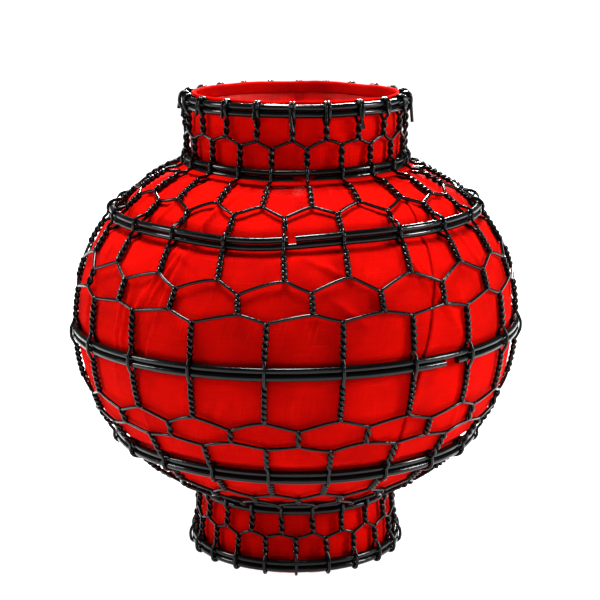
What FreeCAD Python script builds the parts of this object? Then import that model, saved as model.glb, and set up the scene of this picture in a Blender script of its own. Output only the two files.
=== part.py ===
import FreeCAD, Part
import os
from math import atan2, cos, degrees, pi, radians, sin, sqrt, tan

# A wire and cloth table lantern. Seven hoops carry a hand-twisted wire net, and a red cloth
# lining stands inside it. A pressed dish with a tealight rests in the lantern's waist.
# Millimetres, +Z up. The origin is on the floor, under the middle of the foot.

# Wire and cloth
HOOP_WIRE = 3.2  # diameter of the hoops' wire
NET_WIRE = 1.6  # diameter of the net's wire
CLOTH = 0.5  # thickness of the stiffened lining
STRAND_GAP = 0.1  # between a hoop's two strands
WIRE_GAP = 0.15  # between a net wire and what it crosses
NECK_LINING_GAP = 0.5  # between the lining and the wires in the neck and the foot
BODY_LINING_GAP = 0.3  # the least between the body lining and the wires in front of it
SEAM_GAP = 0.2  # between neighbouring pieces of lining

# Middle radius of the hoops that shape the outline, and the heights of all of them
RIM_RADIUS, RIM_Z = 55.2, 231.8
NECK_RADIUS, NECK_Z = 55.0, 202.6
SHOULDER_Z = 178.0
BELLY_RADIUS, EQUATOR_Z = 112.4, 119.6
LOWER_Z = 65.1
WAIST_RADIUS, WAIST_Z = 50.4, 34.3
FOOT_RADIUS = 52.8
FULLNESS_ABOVE, FULLNESS_BELOW = 2.4, 2.0  # higher values keep the belly wide for longer
LEAN = 0.7  # tilt in degrees of the shoulder and equator hoops, higher at +X

# The cut of each strand: azimuth in degrees from the front, and the open length in mm
STRAND_CUTS = {
    "rim_hoop_upper": (150, 1.5),
    "rim_hoop_lower": (-155, 1.5),
    "neck_hoop_upper": (-170, 1.5),
    "neck_hoop_lower": (4.3, 10.0),
    "shoulder_hoop_upper": (-1.0, 3.5),
    "shoulder_hoop_lower": (128, 1.5),
    "equator_hoop_upper": (-120, 1.5),
    "equator_hoop_lower": (40, 8.0),
    "lower_hoop_upper": (165, 1.5),
    "lower_hoop_lower": (-140, 1.5),
    "waist_hoop_upper": (110, 1.5),
    "waist_hoop_lower": (-165, 1.5),
    "foot_hoop_upper": (-130, 1.5),
    "foot_hoop_lower": (145, 1.5),
}

# The net. Its wires part and meet again at each zigzag, which is given by the hoops above
# and below it and the shares of the way down where it starts and ends.
COLUMNS = 22
ZIGZAGS = [
    ("rim", "neck", 0.47, 0.555),
    ("neck", "shoulder", 0.475, 0.58),
    ("shoulder", "equator", 0.285, 0.38),
    ("shoulder", "equator", 0.545, 0.605),
    ("equator", "lower", 0.445, 0.515),
    ("equator", "lower", 0.665, 0.71),
    ("lower", "waist", 0.43, 0.555),
    ("lower", "waist", 0.69, 0.81),
    ("waist", "foot", 0.435, 0.51),
]
# Each row of twisted pairs sits a little round from the last, and wider at the front than
# at the back: both in degrees.
ROW_TURN = [-1.7, -2.9, -3.2, -5.0, -7.1, -7.6, -7.5, -7.2, -7.6, -8.0]
ROW_SPREAD = [3.8, 3.4, 2.8, 5.0, 5.6, 3.6, 3.4, 2.0, 3.0, 1.7]
TAIL_OUTSIDE, TAIL_INSIDE = 5.0, 1.0  # wire ends below the middle of the rim hoop
TAIL_FLARE = 1.5

# The lining
GORES = 5
FIRST_SEAM = -40.0  # azimuth in degrees
GORE_SECTIONS = 14
HEM = 6.0  # depth of the doubled band at the top
LINING_PROUD = 1.2  # of the rim hoop

# The dish and its tealight
DISH_SHEET = 0.6
DISH_OVERLAP = 2.2  # flange past the lining's waist
DISH_SEAT = 0.7  # radial room between the flange and the lining
BOWL_ROOM = 2.5  # between the bowl and the lining's waist
BOWL_DEPTH = 7.0
BEAD_HEIGHT, BEAD_WIDTH = 2.0, 1.0
TEALIGHT_ROOM = 0.6  # round the tealight, inside the bead
TEALIGHT_RADIUS, TEALIGHT_HEIGHT, CUP_SHEET = 19.0, 16.0, 0.4
WAX_GAP = 0.05
WAX_HEIGHT = 12.0
WICK_RADIUS, WICK_GAP, WICK_PROUD = 0.6, 0.15, 6.0
REST_GAP = 0.1  # under the tealight

# What follows from those sizes
STRAND_OFFSET = (HOOP_WIRE + STRAND_GAP) / 2  # from a hoop's middle to its strands
HOOP_HALF = STRAND_OFFSET + HOOP_WIRE / 2
HOOK = (HOOP_WIRE + NET_WIRE) / 2 + WIRE_GAP  # between the middles of crossing wires
PAIR = (NET_WIRE + WIRE_GAP) / 2
FOOT_Z = STRAND_OFFSET + HOOK + NET_WIRE / 2  # the net's loops under the foot touch the floor
# The linings' outer faces, behind the net's middle. On a sloping part of the body a wire
# behind a hoop lies deeper than on an upright one, by no more than half the hoop's height.
NECK_LINING_DEPTH = HOOK + NET_WIRE / 2 + NECK_LINING_GAP
BODY_LINING_DEPTH = HOOK + NET_WIRE / 2 + STRAND_OFFSET + BODY_LINING_GAP


def vec(x, y, z):
    return FreeCAD.Vector(x, y, z)


# ---- Outline ----


def body_radius(z):
    """Radius of the net's middle over the body, and a little past its two ends."""
    if z >= EQUATOR_Z:
        share, end, power = (z - EQUATOR_Z) / (NECK_Z - EQUATOR_Z), NECK_RADIUS, FULLNESS_ABOVE
    else:
        share, end, power = (EQUATOR_Z - z) / (EQUATOR_Z - WAIST_Z), WAIST_RADIUS, FULLNESS_BELOW
    return BELLY_RADIUS * sqrt(1 - (1 - (end / BELLY_RADIUS) ** 2) * share**power)


def net_radius(z):
    if z > NECK_Z:
        return NECK_RADIUS + (RIM_RADIUS - NECK_RADIUS) * (z - NECK_Z) / (RIM_Z - NECK_Z)
    if z < WAIST_Z:
        return FOOT_RADIUS + (WAIST_RADIUS - FOOT_RADIUS) * (z - FOOT_Z) / (WAIST_Z - FOOT_Z)
    return body_radius(z)


def steepness(radius, z):
    """Change of radius for each mm of height."""
    step = 0.01
    return (radius(z + step) - radius(z - step)) / (2 * step)


def offset_point(radius, z, out):
    """(radius, z) of the point that lies out beyond the outline, square to it."""
    steep = steepness(radius, z)
    length = sqrt(1 + steep * steep)
    return radius(z) + out / length, z - out * steep / length


HOOPS = {
    "rim": (RIM_RADIUS, RIM_Z, 0),
    "neck": (NECK_RADIUS, NECK_Z, 0),
    "shoulder": (body_radius(SHOULDER_Z), SHOULDER_Z, LEAN),
    "equator": (body_radius(EQUATOR_Z), EQUATOR_Z, LEAN),
    "lower": (body_radius(LOWER_Z), LOWER_Z, 0),
    "waist": (WAIST_RADIUS, WAIST_Z, 0),
    "foot": (FOOT_RADIUS, FOOT_Z, 0),
}


def slope_at(z):
    """Rise per mm of x. It is level at a hoop and changes between two hoops."""
    near = HOOP_HALF + HOOK
    stops = [
        (LOWER_Z + near, 0),
        (EQUATOR_Z - near, 1),
        (SHOULDER_Z + near, 1),
        (NECK_Z - near, 0),
    ]
    share = 0
    for (low_z, low), (high_z, high) in zip(stops, stops[1:]):
        if low_z <= z <= high_z:
            share = low + (high - low) * (z - low_z) / (high_z - low_z)
    return tan(radians(LEAN)) * share


def place(azimuth, radius, z):
    """The point at an azimuth in degrees from the front (-Y) towards +X."""
    x = radius * sin(radians(azimuth))
    return vec(x, -radius * cos(radians(azimuth)), z + slope_at(z) * x)


# ---- Hoops ----


def make_strand(radius, z, cut_azimuth, cut_length):
    """One ring of wire with a square-cut opening."""
    open_angle = degrees(cut_length / radius)
    section = Part.Wire(Part.Circle(vec(0, -radius, z), vec(1, 0, 0), HOOP_WIRE / 2).toShape())
    ring = Part.Face(section).revolve(vec(0, 0, 0), vec(0, 0, 1), 360 - open_angle)
    ring.rotate(vec(0, 0, 0), vec(0, 0, 1), cut_azimuth + open_angle / 2)
    return ring


def make_hoops():
    strands = {}
    for hoop, (radius, z, lean) in HOOPS.items():
        for strand, offset in (("upper", STRAND_OFFSET), ("lower", -STRAND_OFFSET)):
            name = f"{hoop}_hoop_{strand}"
            ring = make_strand(radius, z + offset, *STRAND_CUTS[name])
            ring.rotate(vec(0, 0, z), vec(0, -1, 0), lean)
            strands[name] = ring
    return strands


# ---- Net ----


def make_tube(points, diameter, bend):
    """A wire along straight runs joined by tangent arcs of at most the radius bend."""
    edges = []
    start = points[0]
    for before, corner, after in zip(points, points[1:], points[2:]):
        run_in, run_out = before - corner, after - corner
        turn = pi - run_in.getAngle(run_out)
        reach = 0.45 * min(run_in.Length, run_out.Length)
        radius = min(bend, reach / tan(turn / 2))
        cut = radius * tan(turn / 2)
        arc_in = corner + run_in.normalize() * cut
        arc_out = corner + run_out.normalize() * cut
        middle = (run_in + run_out).normalize()
        top = corner + middle * (radius / cos(turn / 2) - radius)
        edges.append(Part.LineSegment(start, arc_in).toShape())
        edges.append(Part.Arc(arc_in, top, arc_out).toShape())
        start = arc_out
    edges.append(Part.LineSegment(start, points[-1]).toShape())
    path = Part.Wire(edges)
    section = Part.Wire(Part.Circle(points[0], points[1] - points[0], diameter / 2).toShape())
    return path.makePipeShell([section], True, False), path.Length


def row_heights():
    """(top, bottom) of each row of twisted pairs, from the rim down."""
    tops, bottoms = [RIM_Z], []
    for above, below, start, end in ZIGZAGS:
        top_z, fall = HOOPS[above][1], HOOPS[above][1] - HOOPS[below][1]
        bottoms.append(top_z - start * fall)
        tops.append(top_z - end * fall)
    return list(zip(tops, bottoms + [FOOT_Z]))


def row_azimuth(row, column):
    even = 360 * column / COLUMNS
    return even + ROW_TURN[row] + ROW_SPREAD[row] * sin(radians(even))


def past_hoop(end, radius, side):
    """How far past a strand's middle the wire stays upright, on its way to end."""
    line = radius + side * HOOK
    reach = 0
    for _ in range(8):
        lean = atan2(side * (line - end[0]), abs(end[1]) - reach)
        reach = max(0, HOOK * tan(lean / 2))
    return line, reach


def make_leg(column, side):
    """Points of one leg from its end at the rim to the foot. side is 1 for the leg that runs
    to the right and passes in front of the hoops, and -1 for the one that passes behind."""
    points = []
    rows = row_heights()
    for row, (top, bottom) in enumerate(rows):
        azimuth = row_azimuth(row, column + (side / 2 if row % 2 else 0))
        upper = offset_point(net_radius, top, side * PAIR)
        lower = offset_point(net_radius, bottom, side * PAIR)
        hoops = [h for h in HOOPS.values() if bottom <= h[1] <= top]
        if row == 0:
            points += rim_wrap(azimuth, side, lower)
        elif row == len(rows) - 1:
            line, up = past_hoop((upper[0], upper[1] - FOOT_Z - STRAND_OFFSET), FOOT_RADIUS, side)
            points.append(place(azimuth, *upper))
            points.append(place(azimuth, line, FOOT_Z + STRAND_OFFSET + up))
            points.append(place(azimuth, line, FOOT_Z - STRAND_OFFSET - HOOK))
            continue
        else:
            points.append(place(azimuth, *upper))
            for radius, z, _ in hoops:
                line, up = past_hoop((upper[0], upper[1] - z - STRAND_OFFSET), radius, side)
                line, down = past_hoop((lower[0], z - STRAND_OFFSET - lower[1]), radius, side)
                points.append(place(azimuth, line, z + STRAND_OFFSET + up))
                points.append(place(azimuth, line, z - STRAND_OFFSET - down))
        points.append(place(azimuth, *lower))
    return points


def rim_wrap(azimuth, side, lower):
    """The wire's end, turned over the rim hoop. The pair's two ends lie side by side."""
    azimuth += side * degrees(PAIR / RIM_RADIUS)
    line, down = past_hoop((lower[0], RIM_Z - STRAND_OFFSET - lower[1]), RIM_RADIUS, side)
    across = RIM_RADIUS - side * HOOK
    top = RIM_Z + STRAND_OFFSET + HOOK
    if side > 0:
        tail = [place(azimuth, across, RIM_Z - TAIL_INSIDE)]
    else:
        tail = [
            place(azimuth, across + TAIL_FLARE, RIM_Z - TAIL_OUTSIDE),
            place(azimuth, across, RIM_Z),
        ]
    return tail + [
        place(azimuth, across, top),
        place(azimuth, line, top),
        place(azimuth, line, RIM_Z - STRAND_OFFSET - down),
    ]


def make_net():
    """Each wire is doubled under the foot hoop, and its two legs run up to the rim."""
    wires = {}
    for column in range(COLUMNS):
        points = make_leg(column, 1) + make_leg(column + 1, -1)[::-1]
        wire, length = make_tube(points, NET_WIRE, HOOK)
        wires[f"net_wire_{column + 1:02d}"] = wire
        expected = length * pi * NET_WIRE**2 / 4
        print(f"net wire {column + 1}: {length:.0f} mm long, volume {wire.Volume / expected:.4f}")
    return wires


# ---- Lining ----


def find_height(radius_at, wanted, start, end):
    """The height between start and end where radius_at reaches the wanted radius."""
    rising = radius_at(end) > radius_at(start)
    for _ in range(50):
        middle = (start + end) / 2
        if (radius_at(middle) > wanted) == rising:
            end = middle
        else:
            start = middle
    return start


def lining_point(z, depth=BODY_LINING_DEPTH):
    return offset_point(body_radius, z, -depth)


def outline_height(radius, hoop):
    """The height where the body's outline has this radius, on this hoop's side of the belly."""
    end, z, _ = HOOPS[hoop]
    power = FULLNESS_ABOVE if z > EQUATOR_Z else FULLNESS_BELOW
    share = ((BELLY_RADIUS**2 - radius**2) / (BELLY_RADIUS**2 - end**2)) ** (1 / power)
    return EQUATOR_Z + (z - EQUATOR_Z) * share


def lining_end(hoop):
    """The outline's height where the body lining meets the tube of the neck or the foot."""
    radius, z, _ = HOOPS[hoop]
    wanted = radius - NECK_LINING_DEPTH
    past = outline_height(wanted, hoop)
    before = z - 0.3 * (z - EQUATOR_Z)
    return find_height(lambda h: lining_point(h)[0], wanted, past, before)


def lining_heights():
    """Heights on the outline, from the neck to the waist, closer together at both ends."""
    heights = [lining_end("neck")]
    for step in range(1, GORE_SECTIONS):
        share = 1 - 2 * step / GORE_SECTIONS
        rise = NECK_Z - EQUATOR_Z if share > 0 else EQUATOR_Z - WAIST_Z
        heights.append(EQUATOR_Z + rise * sin(share * pi / 2))
    return heights + [lining_end("waist")]


def gore_section(outline_z, azimuths):
    """A level cut through a gore: two arcs joined by two short sides."""
    radius, z = lining_point(outline_z)
    across = CLOTH * sqrt(1 + steepness(body_radius, outline_z) ** 2)
    outer = [place(azimuth, radius, z) for azimuth in azimuths]
    inner = [place(azimuth, radius - across, z) for azimuth in azimuths]
    return Part.Wire(
        [
            Part.Arc(*outer).toShape(),
            Part.LineSegment(outer[-1], inner[-1]).toShape(),
            Part.Arc(*inner[::-1]).toShape(),
            Part.LineSegment(inner[0], outer[0]).toShape(),
        ]
    )


def make_gore(index):
    """One panel of the body lining, between two upright seams."""
    width = 360 / GORES
    gap = degrees(SEAM_GAP / NECK_RADIUS) / 2
    left = FIRST_SEAM + index * width + gap
    right = FIRST_SEAM + (index + 1) * width - gap
    azimuths = (left, (left + right) / 2, right)
    return Part.makeLoft([gore_section(z, azimuths) for z in lining_heights()], True, False)


def revolve(outline):
    face = Part.Face(Part.makePolygon([vec(r, 0, z) for r, z in outline + outline[:1]]))
    return face.revolve(vec(0, 0, 0), vec(0, 0, 1), 360)


def make_neck_lining():
    """A tube whose top edge is folded in to a doubled hem."""
    top = RIM_Z + HOOP_HALF + LINING_PROUD
    bottom = lining_point(lining_end("neck"))[1] + SEAM_GAP
    outer_low, outer_high = NECK_RADIUS - NECK_LINING_DEPTH, RIM_RADIUS - NECK_LINING_DEPTH
    return revolve(
        [
            (outer_low, bottom),
            (outer_high, top),
            (outer_high - 2 * CLOTH, top),
            (outer_high - 2 * CLOTH, top - HEM),
            (outer_high - CLOTH, top - HEM),
            (outer_low - CLOTH, bottom),
        ]
    )


def make_foot_lining():
    """A tube that flares a little and stands on the floor."""
    top = lining_point(lining_end("waist"))[1] - SEAM_GAP
    outer_low, outer_high = FOOT_RADIUS - NECK_LINING_DEPTH, WAIST_RADIUS - NECK_LINING_DEPTH
    return revolve(
        [
            (outer_low, 0),
            (outer_high, top),
            (outer_high - CLOTH, top),
            (outer_low - CLOTH, 0),
        ]
    )


# ---- Light ----


def dish_sizes():
    """(flange radius, bowl radius, height of the flange's underside)"""
    waist = WAIST_RADIUS - NECK_LINING_DEPTH - CLOTH
    flange = waist + DISH_OVERLAP
    depth = BODY_LINING_DEPTH + CLOTH
    meet = find_height(
        lambda h: lining_point(h, depth)[0], flange + DISH_SEAT, WAIST_Z - HOOK, EQUATOR_Z
    )
    return flange, waist - BOWL_ROOM, lining_point(meet, depth)[1]


def make_dish():
    """A pressed bowl with a flange, and a bead that keeps the tealight in the middle."""
    flange, bowl, seat = dish_sizes()
    floor = seat - BOWL_DEPTH + DISH_SHEET
    bead = TEALIGHT_RADIUS + TEALIGHT_ROOM
    return revolve(
        [
            (0, floor - DISH_SHEET),
            (bowl, floor - DISH_SHEET),
            (bowl, seat),
            (flange, seat),
            (flange, seat + DISH_SHEET),
            (bowl - DISH_SHEET, seat + DISH_SHEET),
            (bowl - DISH_SHEET, floor),
            (bead + BEAD_WIDTH, floor),
            (bead + BEAD_WIDTH, floor + BEAD_HEIGHT),
            (bead, floor + BEAD_HEIGHT),
            (bead, floor),
            (0, floor),
        ]
    )


def make_tealight():
    base = dish_sizes()[2] - BOWL_DEPTH + DISH_SHEET + REST_GAP
    inside = TEALIGHT_RADIUS - CUP_SHEET
    wax_base = base + CUP_SHEET + WAX_GAP
    cup = revolve(
        [
            (0, base),
            (TEALIGHT_RADIUS, base),
            (TEALIGHT_RADIUS, base + TEALIGHT_HEIGHT),
            (inside, base + TEALIGHT_HEIGHT),
            (inside, base + CUP_SHEET),
            (0, base + CUP_SHEET),
        ]
    )
    wax = Part.makeCylinder(inside - WAX_GAP, WAX_HEIGHT, vec(0, 0, wax_base)).cut(
        Part.makeCylinder(WICK_RADIUS + WICK_GAP, WAX_HEIGHT, vec(0, 0, wax_base))
    )
    wick = Part.makeCylinder(WICK_RADIUS, WAX_HEIGHT + WICK_PROUD, vec(0, 0, wax_base))
    return {"tealight_cup": cup, "tealight_wax": wax, "tealight_wick": wick}


def main():
    nodes = make_hoops() | make_net()
    for index in range(GORES):
        nodes[f"body_lining_{index + 1}"] = make_gore(index)
    nodes["neck_lining"] = make_neck_lining()
    nodes["foot_lining"] = make_foot_lining()
    nodes["candle_dish"] = make_dish()
    nodes |= make_tealight()
    os.makedirs("parts", exist_ok=True)
    for name, shape in nodes.items():
        solid = shape if shape.ShapeType == "Solid" else shape.Solids[0]
        print(f"{name}: {solid.Volume:.1f} mm3, valid {solid.isValid()}")
        solid.exportStep(f"parts/{name}.step")
    flange, bowl, seat = dish_sizes()
    print(f"{len(nodes)} nodes; dish flange radius {flange:.1f}, bowl {bowl:.1f}, seat {seat:.1f}")


main()
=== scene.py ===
# %% [markdown]
# # A wire and cloth table lantern
# The real lantern is made by hand. Paired wire hoops give it its outline, a net of thin wire is
# twisted round them, and a red cotton lining stands inside. A small dish with a tealight rests in
# the waist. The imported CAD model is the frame: it says where the hoops, the lining and the light
# are, and this script makes the pieces that are seen.

# %% Load the frame
import math
import random

import bmesh
import bpy
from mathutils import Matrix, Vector, noise


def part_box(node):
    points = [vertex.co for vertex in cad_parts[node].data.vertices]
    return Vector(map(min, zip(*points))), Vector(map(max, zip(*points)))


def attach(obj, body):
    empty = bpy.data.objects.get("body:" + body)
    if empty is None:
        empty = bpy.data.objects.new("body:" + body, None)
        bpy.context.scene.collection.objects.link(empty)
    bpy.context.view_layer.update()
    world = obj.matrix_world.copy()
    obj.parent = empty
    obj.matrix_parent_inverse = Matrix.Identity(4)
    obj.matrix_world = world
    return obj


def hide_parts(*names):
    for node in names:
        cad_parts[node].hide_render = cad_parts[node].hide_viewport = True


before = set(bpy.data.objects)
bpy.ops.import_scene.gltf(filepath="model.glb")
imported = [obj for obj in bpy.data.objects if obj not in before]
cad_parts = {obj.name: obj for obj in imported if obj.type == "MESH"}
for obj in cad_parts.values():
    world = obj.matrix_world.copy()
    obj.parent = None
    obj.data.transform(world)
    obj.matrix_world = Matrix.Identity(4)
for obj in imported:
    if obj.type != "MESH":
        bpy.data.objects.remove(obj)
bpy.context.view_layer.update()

print("nodes in the frame:", len(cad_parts))

# %% [markdown]
# ## The camera
# It stands a little above the lantern and looks slightly down, with a long lens, so the hoops
# show as flat ellipses and the inside of the mouth is just seen.

# %% Place the camera
CAMERA_DISTANCE = 0.862
CAMERA_HEIGHT = 0.3207
CAMERA_PITCH = math.radians(12.53)
CAMERA_LENS = 103.4
CAMERA_SHIFT = 0.0077

camera_data = bpy.data.cameras.new("camera")
camera_data.lens = CAMERA_LENS
camera_data.shift_x = CAMERA_SHIFT
camera = bpy.data.objects.new("camera", camera_data)
bpy.context.collection.objects.link(camera)
camera.location = (0, -CAMERA_DISTANCE, CAMERA_HEIGHT)
camera.rotation_euler = (math.radians(90) - CAMERA_PITCH, 0, 0)
bpy.context.scene.camera = camera
print("lens", CAMERA_LENS, "mm")

# %% [markdown]
# ## The frame's sizes
# Each hoop is two strands of wire, one above the other. Their boxes give the hoop's radius, its
# height and how far it leans, so nothing here is measured twice.

# %% Read the hoops
HOOP_WIRE = 0.0032
NET_WIRE = 0.0016
HOOP_NAMES = ("rim", "neck", "shoulder", "equator", "lower", "waist", "foot")


def read_hoop(name):
    """(radius, height, lean as rise for each metre of x) of a hoop, from its strands."""
    low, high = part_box(f"{name}_hoop_upper")
    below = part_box(f"{name}_hoop_lower")
    radius = (high[0] - low[0] - HOOP_WIRE) / 2
    rise = (high[2] - low[2] - HOOP_WIRE) / (2 * radius)
    middle = (low[2] + high[2] + below[0][2] + below[1][2]) / 4
    return radius, middle, rise if rise > 0.001 else 0.0


HOOPS = {name: read_hoop(name) for name in HOOP_NAMES}
STRAND_OFFSET = (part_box("rim_hoop_upper")[0][2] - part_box("rim_hoop_lower")[0][2]) / 2
for name, hoop in HOOPS.items():
    print(name, "radius %.1f mm, height %.1f mm" % (hoop[0] * 1000, hoop[1] * 1000))

# %% [markdown]
# ## The outline
# Everything lies on or near one round outline. A formula gives its radius at any height: it is
# widest at the equator hoop and falls towards the neck and the waist like a full ellipse. A point
# of the net is then an azimuth from the front, a height, and how far it stands out.

# %% Describe the outline
FULLNESS_ABOVE, FULLNESS_BELOW = 2.4, 2.0
NECK_Z, EQUATOR_Z, WAIST_Z = (HOOPS[name][1] for name in ("neck", "equator", "waist"))
RIM_RADIUS, RIM_Z = HOOPS["rim"][:2]
FOOT_RADIUS, FOOT_Z = HOOPS["foot"][:2]
BELLY_RADIUS = HOOPS["equator"][0]
LEAN = HOOPS["equator"][2]


def outline(z):
    """Radius of the net's middle at a height."""
    neck, waist = HOOPS["neck"][0], HOOPS["waist"][0]
    if z > NECK_Z:
        return neck + (RIM_RADIUS - neck) * (z - NECK_Z) / (RIM_Z - NECK_Z)
    if z < WAIST_Z:
        return waist + (FOOT_RADIUS - waist) * (WAIST_Z - z) / (WAIST_Z - FOOT_Z)
    if z >= EQUATOR_Z:
        share, end, power = (z - EQUATOR_Z) / (NECK_Z - EQUATOR_Z), neck, FULLNESS_ABOVE
    else:
        share, end, power = (EQUATOR_Z - z) / (EQUATOR_Z - WAIST_Z), waist, FULLNESS_BELOW
    return BELLY_RADIUS * math.sqrt(1 - (1 - (end / BELLY_RADIUS) ** 2) * share**power)


def stand_out(z, out):
    """(radius, height) of the point that lies out beyond the outline, square to it."""
    step = 0.0002
    steep = (outline(z + step) - outline(z - step)) / (2 * step)
    length = math.hypot(1, steep)
    return outline(z) + out / length, z - out * steep / length


def blend(low, high, x):
    """Smooth step from 0 at low to 1 at high."""
    share = min(1, max(0, (x - low) / (high - low)))
    return share * share * (3 - 2 * share)


def lean_at(z):
    """Two hoops lean, and the net between them follows."""
    near = 0.006
    rising = blend(HOOPS["lower"][1] + near, EQUATOR_Z - near, z)
    falling = blend(NECK_Z - near, HOOPS["shoulder"][1] + near, z)
    return LEAN * rising * falling


# Where the hoops sag a little: azimuth, height, half widths in degrees and metres, drop.
SAGS = (
    (0, NECK_Z, 48, 0.012, 0.0014),
    (-14, HOOPS["shoulder"][1] - 0.002, 21, 0.020, 0.0026),
    (5, HOOPS["lower"][1], 35, 0.014, 0.0008),
)


def sag_at(azimuth, z):
    total = 0
    for middle, height, half_wide, half_high, drop in SAGS:
        turn = ((azimuth - middle + 180) % 360 - 180) / half_wide
        total += drop * math.exp(-(turn**2) - ((z - height) / half_high) ** 2)
    return total


def place(azimuth, radius, z):
    """The point at an azimuth in degrees from the front towards +X."""
    x = radius * math.sin(math.radians(azimuth))
    drop = sag_at(azimuth, z)
    return Vector((x, -radius * math.cos(math.radians(azimuth)), z + lean_at(z) * x - drop))


print("radius at the shoulder %.1f mm" % (outline(HOOPS["shoulder"][1]) * 1000))

# %% [markdown]
# ## Finishes
# An effect that several finishes share is a node group. There are two: paint that lies in small
# runs with dust on it, and the weave of plain cotton. A group gives masks and heights, and each
# material keeps its own shader. Coordinates come from the object, or for cloth from its UV map,
# which is in metres.

# %% Node helpers


def new_group(name, inputs, outputs):
    group = bpy.data.node_groups.new(name, "ShaderNodeTree")
    for socket, value in inputs.items():
        kind = "NodeSocketVector" if value is None else "NodeSocketFloat"
        made = group.interface.new_socket(socket, in_out="INPUT", socket_type=kind)
        if value is not None:
            made.default_value = value
    for socket in outputs:
        group.interface.new_socket(socket, in_out="OUTPUT", socket_type="NodeSocketFloat")
    return group, group.nodes.new("NodeGroupInput"), group.nodes.new("NodeGroupOutput")


def add(tree, kind, settings=None, links=None):
    """A node with its settings, and links given as {input: output socket or value}."""
    node = tree.nodes.new(kind)
    for key, value in (settings or {}).items():
        setattr(node, key, value)
    for key, source in (links or {}).items():
        if isinstance(source, bpy.types.NodeSocket):
            tree.links.new(source, node.inputs[key])
        else:
            node.inputs[key].default_value = source
    return node


def calc(tree, operation, first, second=0.0, third=0.0):
    links = {0: first, 1: second, 2: third}
    return add(tree, "ShaderNodeMath", {"operation": operation}, links).outputs[0]


def spread(tree, value, low, high, to_low=0.0, to_high=1.0):
    links = {"Value": value, "From Min": low, "From Max": high, "To Min": to_low, "To Max": to_high}
    return add(tree, "ShaderNodeMapRange", {}, links).outputs["Result"]


# %% Group: runs and dust on enamel
enamel_group, enamel_in, enamel_out = new_group(
    "enamel_runs",
    {"Coordinates": None, "Run Scale": 260.0, "Dust": 0.5},
    ["Height", "Dull", "Dust"],
)
runs = add(
    enamel_group,
    "ShaderNodeTexNoise",
    {},
    {"Vector": enamel_in.outputs[0], "Scale": enamel_in.outputs[1], "Detail": 2.0},
)
specks = add(
    enamel_group,
    "ShaderNodeTexNoise",
    {},
    {"Vector": enamel_in.outputs[0], "Scale": 2400.0, "Detail": 1.0, "Roughness": 0.6},
)
patches = add(
    enamel_group,
    "ShaderNodeTexNoise",
    {},
    {"Vector": enamel_in.outputs[0], "Scale": 60.0, "Detail": 3.0},
)
speck_mask = spread(enamel_group, specks.outputs["Fac"], 0.66, 0.72)
dusty = calc(enamel_group, "MULTIPLY", speck_mask, enamel_in.outputs[2])
patch_mask = spread(enamel_group, patches.outputs["Fac"], 0.45, 0.7)
dusty = calc(enamel_group, "MULTIPLY", dusty, patch_mask)
enamel_group.links.new(runs.outputs["Fac"], enamel_out.inputs["Height"])
enamel_group.links.new(patches.outputs["Fac"], enamel_out.inputs["Dull"])
enamel_group.links.new(dusty, enamel_out.inputs["Dust"])
print("enamel group:", len(enamel_group.nodes), "nodes")

# %% Group: plain weave
THREAD_PITCH = 0.00052

weave_group, weave_in, weave_out = new_group(
    "plain_weave",
    {"Coordinates": None, "Pitch": THREAD_PITCH},
    ["Height", "Gap", "Slub", "Streak", "Cloud"],
)
wobble = add(
    weave_group,
    "ShaderNodeTexNoise",
    {},
    {"Vector": weave_in.outputs[0], "Scale": 90.0, "Detail": 2.0},
)
bent = add(
    weave_group,
    "ShaderNodeVectorMath",
    {"operation": "MULTIPLY_ADD"},
    {0: wobble.outputs["Color"], 1: (0.0005, 0.0005, 0.0), 2: weave_in.outputs[0]},
)
axes = add(weave_group, "ShaderNodeSeparateXYZ", {}, {0: bent.outputs[0]})
threads = []
for axis in ("X", "Y"):
    turns = calc(weave_group, "DIVIDE", axes.outputs[axis], weave_in.outputs[1])
    threads.append(calc(weave_group, "SINE", calc(weave_group, "MULTIPLY", turns, 2 * math.pi)))
over = calc(weave_group, "MULTIPLY", threads[0], threads[1])
weft = calc(weave_group, "ABSOLUTE", threads[0])
warp = calc(weave_group, "ABSOLUTE", threads[1])
cover = calc(weave_group, "MAXIMUM", weft, warp)
relief = calc(weave_group, "MULTIPLY_ADD", over, 0.35, cover)
slubs = []
for stretch in ((1700.0, 50.0, 1.0), (50.0, 1700.0, 1.0)):
    stretched = add(
        weave_group,
        "ShaderNodeVectorMath",
        {"operation": "MULTIPLY"},
        {0: bent.outputs[0], 1: stretch},
    )
    slub = add(
        weave_group, "ShaderNodeTexNoise", {}, {"Vector": stretched.outputs[0], "Scale": 1.0}
    )
    slubs.append(slub.outputs["Fac"])
cloud = add(
    weave_group,
    "ShaderNodeTexNoise",
    {},
    {"Vector": weave_in.outputs[0], "Scale": 28.0, "Detail": 4.0, "Roughness": 0.6},
)
weave_group.links.new(relief, weave_out.inputs["Height"])
weave_group.links.new(calc(weave_group, "SUBTRACT", 1.0, cover), weave_out.inputs["Gap"])
weave_group.links.new(calc(weave_group, "MAXIMUM", *slubs), weave_out.inputs["Slub"])
streak = calc(weave_group, "MULTIPLY", calc(weave_group, "ADD", *slubs), 0.5)
weave_group.links.new(streak, weave_out.inputs["Streak"])
weave_group.links.new(cloud.outputs["Fac"], weave_out.inputs["Cloud"])
print("weave group:", len(weave_group.nodes), "nodes")

# %% [markdown]
# ### Black enamel
# Thick gloss paint on wire is nearly black, with a cool sheen where it mirrors the room. Its
# roughness changes in patches, small runs make the highlights break up, and a little pale dust
# sits on it.

# %% Make the enamels


def new_material(name):
    material = bpy.data.materials.new(name)
    material.use_nodes = True
    tree = material.node_tree
    return material, tree, tree.nodes["Principled BSDF"]


DUST_COLOR = (0.22, 0.23, 0.23, 1)


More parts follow.
